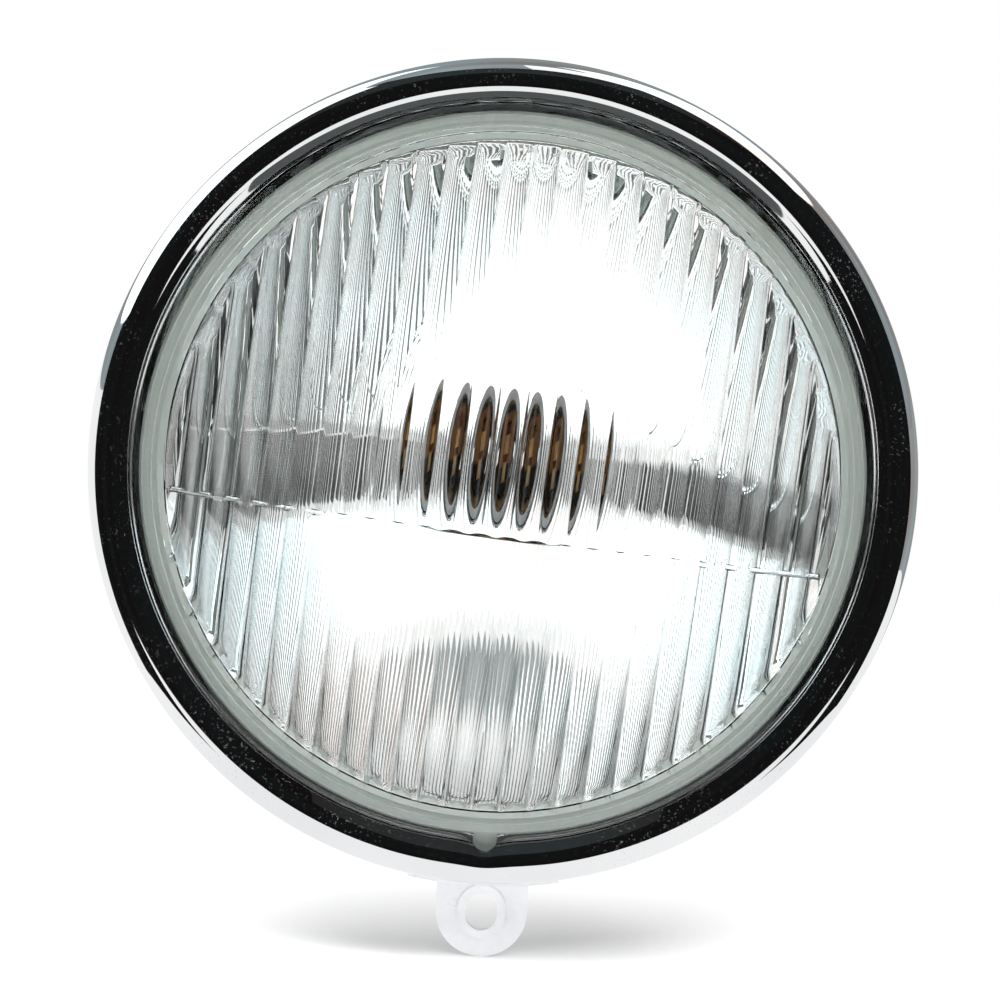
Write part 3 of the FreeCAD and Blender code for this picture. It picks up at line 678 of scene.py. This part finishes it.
# %% [markdown]
# The other metals are sheet: steel, zinc plate, brass and bronze. They differ in tone and
# polish, while a cloudy tone and a fine grain are common to all, so one function makes them.

# %% Sheet metals
def make_metal(name, dark, bright, polish, metal=1.0, scale=120.0):
    """A rolled or plated sheet metal with cloudy tone and fine grain."""
    finish = Finish(name)
    cloud = finish.noise(scale, 4.0)
    grain = finish.noise(scale * 12.0, 2.0)
    tone = finish.spread(cloud * 0.7 + grain * 0.3, 0.0, 1.0)
    return finish.surface(
        Base_Color=finish.blend(tone, dark, bright),
        Metallic=metal,
        Roughness=finish.spread(cloud, *polish),
        Normal=finish.bump(grain, 0.08, 0.0002))


plated_steel = make_metal(
    "zinc_plate", (0.80, 0.81, 0.83, 1), (0.90, 0.91, 0.93, 1), (0.35, 0.5), metal=0.2)
dull_plate = make_metal(
    "dull_zinc", (0.52, 0.53, 0.54, 1), (0.70, 0.71, 0.72, 1), (0.32, 0.48), metal=0.9)
shell_steel = make_metal(
    "drawn_steel", (0.42, 0.43, 0.45, 1), (0.60, 0.61, 0.63, 1), (0.28, 0.42), scale=60.0)
spring_steel = make_metal(
    "spring_steel", (0.30, 0.31, 0.33, 1), (0.46, 0.47, 0.49, 1), (0.25, 0.42))
# painted shade: the sleeve's brass is painted near black as the shade deep inside the socket
sleeve_brass = make_metal(
    "brass_painted_dark_as_shade", (0.05, 0.035, 0.02, 1), (0.16, 0.11, 0.06, 1), (0.3, 0.5))
brass = make_metal(
    "drawn_brass", (0.58, 0.42, 0.20, 1), (0.80, 0.62, 0.34, 1), (0.2, 0.4))
bronze = make_metal(
    "contact_bronze", (0.50, 0.24, 0.08, 1), (0.74, 0.42, 0.18, 1), (0.22, 0.4), metal=0.6)
dress(punch_mark, plated_steel)
print("metal nodes", count_nodes(plated_steel, dull_plate, shell_steel, spring_steel))


# %% [markdown]
# The inside of the bowl is a bright metal coat, a little cloudy. The flange, the neck and the
# outside are plain drawn steel. One mesh carries both, and each face is given its finish by
# the way it faces and by its radius.

# %% Bowl
def make_mirror_coat():
    finish = Finish("mirror_coat")
    cloud = finish.noise(35.0, 0.0)
    return finish.surface(
        Base_Color=finish.blend(cloud, (0.90, 0.905, 0.91, 1), (0.96, 0.96, 0.96, 1)),
        Metallic=1.0,
        Roughness=finish.spread(cloud, 0.008, 0.03))


FACES_FRONT = -0.02
mirror_coat = make_mirror_coat()
dress(reflector, mirror_coat, shell_steel)
for face in reflector.data.polygons:
    radius = math.hypot(face.center.x, face.center.z) / MM
    coated = face.normal.y < FACES_FRONT and radius < APERTURE
    face.material_index = 0 if coated else 1
print("bowl nodes", count_nodes(mirror_coat))


# %% [markdown]
# Rubber and brown paper laminate have little gloss. Their tone and a fine grain carry them.
# The laminate disc behind the contact is painted dark as shade below and above a lit band in the
# middle.

# %% Rubber and laminate
# painted shade: between these heights the disc keeps its brown, and below and above them it is
# painted near black as shade
LIT_BAND_LOW = (-0.0032, -0.0022)
LIT_BAND_HIGH = (0.0044, 0.0054)


def make_rubber():
    finish = Finish("gasket_rubber")
    cloud = finish.noise(200.0, 5.0, 0.6)
    return finish.surface(
        Base_Color=finish.blend(
            finish.spread(cloud, 0.0, 1.0), (0.82, 0.88, 0.81, 1), (0.88, 0.93, 0.87, 1)),
        Roughness=finish.spread(cloud, 0.6, 0.8),
        Normal=finish.bump(finish.noise(1200.0, 2.0), 0.2, 0.0002))


def make_laminate():
    finish = Finish("brown_laminate")
    height = finish.add("ShaderNodeSeparateXYZ", None, {0: finish.place()}, output=2)
    # painted shade: the band in the middle reads as lit, and the rest of the disc is painted
    # dark as shade
    lit_band = (finish.spread(height, 0.0, 1.0, *LIT_BAND_LOW)
             * finish.spread(height, 1.0, 0.0, *LIT_BAND_HIGH))
    grain = finish.spread(finish.noise(300.0, 5.0, 0.6), 0.0, 1.0)
    brown = finish.blend(grain, (0.44, 0.17, 0.045, 1), (0.72, 0.34, 0.11, 1))
    return finish.surface(
        Base_Color=finish.blend(lit_band, (0.012, 0.009, 0.008, 1), brown),
        Roughness=finish.spread(grain, 0.4, 0.6, 0.0, 1.0),
        Normal=finish.bump(finish.noise(1800.0, 2.0), 0.2, 0.0002))


rubber = make_rubber()
laminate = make_laminate()
dress(gasket, rubber)
print("dull nodes", count_nodes(rubber, laminate))

# %% [markdown]
# The CAD nodes that stay as they are get their finish by the material slot in the record.
# The holder's cup and the hook then get a duller plate than the tab.

# %% Dress the CAD nodes
finishes = {
    "plated_steel": plated_steel, "spring_steel": spring_steel, "gasket_rubber": rubber,
    "sleeve_brass": sleeve_brass, "laminate": laminate, "contact_bronze": bronze,
    "terminal_brass": brass, "rivet_brass": brass}
for subpart in frame["record"]["subparts"]:
    if subpart["material_slot"] in finishes:
        dress(frame["nodes"][subpart["node"]], finishes[subpart["material_slot"]])
for node in ("holder_cup", "top_hook"):
    dress(frame["nodes"][node], dull_plate)
print("dressed nodes", len(frame["nodes"]))

# %% [markdown]
# The insert stands on white paper. Near the insert the paper is lit by the lamps and keeps the
# shadow. Further out it fades into an even white that meets the white of the room, so there
# is no horizon, and no backdrop that would stand in the way of a view from behind.

# %% Floor
FLOOR = cad_box[0][2]
FLOOR_RADIUS = 1.5
FADE = (0.16, 0.45)


def make_paper():
    """White paper that keeps the shadow near the insert."""
    finish = Finish("white_paper")
    finish.material.cycles.emission_sampling = "NONE"
    grain = finish.noise(900.0)
    away = finish.add(
        "ShaderNodeVectorMath", {"operation": "LENGTH"}, {0: finish.place()}, output="Value")
    fade = finish.spread(away, 0.0, 1.0, *FADE)
    paper = finish.blend(grain, (0.72, 0.72, 0.72, 1), (0.76, 0.76, 0.76, 1))
    glow = finish.blend(fade, (0.09, 0.09, 0.09, 1), (1, 1, 1, 1))
    return finish.surface(
        Base_Color=finish.blend(fade, paper, (0, 0, 0, 1)), Roughness=0.9,
        Specular_IOR_Level=0.0, Emission_Strength=1.0,
        Emission_Color=finish.blend(finish.seen_plainly(), (0, 0, 0, 1), glow))


floor_sheet = bmesh.new()
bmesh.ops.create_circle(
    floor_sheet, cap_ends=True, segments=96, radius=FLOOR_RADIUS,
    matrix=Matrix.Translation((0, 0, FLOOR)))
floor = finish_mesh(floor_sheet, "white_floor")
dress(floor, make_paper())
floor.visible_glossy = False
floor.visible_transmission = False
print("floor at", FLOOR)

# %% [markdown]
# A mirror shows nothing but its surroundings, so a photographer of chrome and glass sets dark
# and white cards around the object. An image of a room could do this, but cards are plain to
# place. Each is a curved piece of a large sphere that shows only in reflections, or only
# through glass, so it adds no diffuse light. Some of those for the glass are brighter than
# white, to bring out the pale streaks between the flutes.

# %% Cards
CARD_RADIUS = 0.75
SOFT_BOX_RADIUS = 0.70
CARD_STEPS = (32, 40)


def make_card_paper(name, tone):
    """Card that shines evenly, a little warmer or cooler from place to place."""
    finish = Finish(name)
    finish.material.cycles.emission_sampling = "NONE"
    warm = (tone * 0.85, tone * 0.75, tone * 0.72, 1)
    cool = (tone * 0.95, tone * 1.15, tone * 1.2, 1)
    return finish.surface(
        Base_Color=(0, 0, 0, 1), Roughness=1.0, Specular_IOR_Level=0.0, Emission_Strength=1.0,
        Emission_Color=finish.blend(
            finish.spread(finish.noise(3.0, 0.0), 0.0, 1.0), warm, cool))


def limit_sight(card, seen_in_chrome):
    """Let a card show only in reflections or only through glass."""
    card.visible_camera = False
    card.visible_diffuse = False
    card.visible_shadow = False
    card.visible_glossy = seen_in_chrome
    card.visible_transmission = not seen_in_chrome


def add_card(name, tone, elevations, sides, seen_in_chrome, distance=CARD_RADIUS):
    """A curved card between two elevations and two azimuths from the front, in degrees."""
    low, high = (math.radians(angle) for angle in elevations)
    left, right = (math.radians(angle) for angle in sides)
    bm = bmesh.new()
    start = bm.verts.new((0, -distance * math.cos(low), distance * math.sin(low)))
    bmesh.ops.spin(
        bm, geom=[start], cent=(0, 0, 0), axis=(1, 0, 0), angle=low - high,
        steps=CARD_STEPS[0])
    bmesh.ops.rotate(
        bm, verts=bm.verts[:], cent=(0, 0, 0), matrix=Matrix.Rotation(left, 3, "Z"))
    bmesh.ops.spin(
        bm, geom=bm.verts[:] + bm.edges[:], cent=(0, 0, 0), axis=(0, 0, 1), angle=right - left,
        steps=CARD_STEPS[1])
    card = finish_mesh(bm, name)
    dress(card, make_card_paper(name, tone))
    limit_sight(card, seen_in_chrome)


chrome_cards = (
    ("dark_front_for_chrome", 0.008, (-20, 46), (-80, 80)),
    ("dark_low_left_for_chrome", 0.008, (-36, -20), (-80, -34)),
    ("dark_low_right_for_chrome", 0.008, (-36, -20), (34, 80)),
    ("brown_top_for_chrome", 0.03, (46, 69), (-80, 80)),
    ("grey_cap_for_chrome", 0.35, (69, 90), (-80, 4)),
    ("white_cap_for_chrome", 1.3, (69, 90), (4, 80)),
    ("grey_back_for_chrome", 0.30, (4, 90), (80, 280)),
    ("grey_right_for_chrome", 0.35, (-16, 4), (80, 180)))
glass_cards = (
    ("dark_camera_for_glass", 0.02, (-13, 6), (-24, 24)),
    ("dark_left_for_glass", 0.05, (-6, 7), (-90, -40)),
    ("dark_right_for_glass", 0.06, (-11, 6), (40, 90)),
    ("white_low_for_glass", 1.8, (-48, -13.5), (-56, 50)),
    ("white_high_for_glass", 1.5, (9, 40), (-50, 50)),
    ("white_high_left_for_glass", 3.2, (9, 62), (-120, -50)),
    ("white_high_right_for_glass", 2.0, (9, 62), (50, 110)),
    ("dark_top_for_glass", 0.25, (46, 60), (-36, 36)),
    ("grey_low_for_glass", 1.6, (-90, -48), (-56, 50)),
    ("dark_low_right_for_glass", 0.14, (-90, -11.5), (50, 140)),
    ("grey_low_left_for_glass", 1.7, (-90, -6.5), (-140, -56)))
soft_boxes = (
    ("right_soft_box", 1.6, (40, 80), (62, 150)),
    ("left_soft_box", 1.6, (14, 66), (-150, -66)))
for card in chrome_cards:
    add_card(*card, True)
for card in glass_cards:
    add_card(*card, False)
for card in soft_boxes:
    add_card(*card, True, SOFT_BOX_RADIUS)
print("cards", len(chrome_cards), len(glass_cards), len(soft_boxes))

# %% [markdown]
# The top of the rim's lip looks steeply down past the glass. A small grey flag close in front
# of the lens gives it something grey to mirror, which a card far away can't do without also
# showing in the outer edge at the bottom.

# %% Flag in front of the lens
FLAG_PLACE = (0, -0.0303, 0.020)
FLAG_SIZE = (0.044, 0.0195, 1, 1)
FLAG_TONE = 0.10

flag_sheet = bmesh.new()
bmesh.ops.create_grid(
    flag_sheet, x_segments=8, y_segments=8, size=0.5,
    matrix=Matrix.Translation(FLAG_PLACE) @ Matrix.Diagonal(FLAG_SIZE))
flag = finish_mesh(flag_sheet, "grey_flag_for_chrome")
dress(flag, make_card_paper("grey_flag_for_chrome", FLAG_TONE))
limit_sight(flag, True)
print("flag", flag.dimensions)


# %% [markdown]
# Two soft lamps stand high to the left and right and give the tab and the floor their shading.
# The room itself is white where the camera, a reflection or the glass looks at it, and a
# little dimmer as diffuse light, so that the pale tab and the paper keep some shading.

# %% Lamps and room
ROOM_LIGHT = 0.75


def add_lamp(name, azimuth, elevation, distance, width, height, power):
    """A soft lamp that faces the insert from a direction; azimuth 0 is the front."""
    light = bpy.data.lights.new(name, "AREA")
    light.shape = "RECTANGLE"
    light.size = width
    light.size_y = height
    light.energy = power
    lamp = bpy.data.objects.new(name, light)
    azimuth, elevation = math.radians(azimuth), math.radians(elevation)
    spot = Vector((
        math.sin(azimuth) * math.cos(elevation), -math.cos(azimuth) * math.cos(elevation),
        math.sin(elevation))) * distance
    lamp.location = spot
    lamp.rotation_euler = (-spot).to_track_quat("-Z", "Y").to_euler()
    lamp.visible_glossy = False
    lamp.visible_transmission = False
    bpy.context.scene.collection.objects.link(lamp)


add_lamp("right_lamp", 32, 46, 0.7, 0.50, 0.34, 7.0)
add_lamp("left_lamp", -58, 56, 0.7, 0.40, 0.36, 6.0)

room = Finish("white_room", world=True)
bpy.context.scene.world = room.close(room.add("ShaderNodeBackground", None, {
    "Color": (1, 1, 1, 1),
    "Strength": room.spread(room.seen_plainly(), ROOM_LIGHT, 1.0, 0.0, 1.0)}))
print("lamps", len(bpy.data.lights), "room nodes", len(room.tree.nodes))

# %% [markdown]
# The photograph looks a little down on the insert from the front, with a slight roll. The
# focal length follows from the distance and from the width that the frame shows.

# %% Camera
DISTANCE = 0.55
ELEVATION = math.radians(6.5)
ROLL = math.radians(2.8)
FRAME_WIDTH = 0.1411
SENSOR = 36.0
AIM = Vector((-0.0002, 0.0, -0.0045))

back = Vector((0, -math.cos(ELEVATION), math.sin(ELEVATION)))
optics = bpy.data.cameras.new("photo_camera")
optics.sensor_width = SENSOR
optics.lens = SENSOR * DISTANCE / FRAME_WIDTH
camera = bpy.data.objects.new("photo_camera", optics)
camera.location = AIM + back * DISTANCE
turned = back.to_track_quat("Z", "Y").to_matrix() @ Matrix.Rotation(ROLL, 3, "Z")
camera.rotation_euler = turned.to_euler()
bpy.context.scene.collection.objects.link(camera)
bpy.context.scene.camera = camera
bpy.context.scene.view_settings.view_transform = "Standard"
print("focal length", round(optics.lens, 1), "mm")

# %% [markdown]
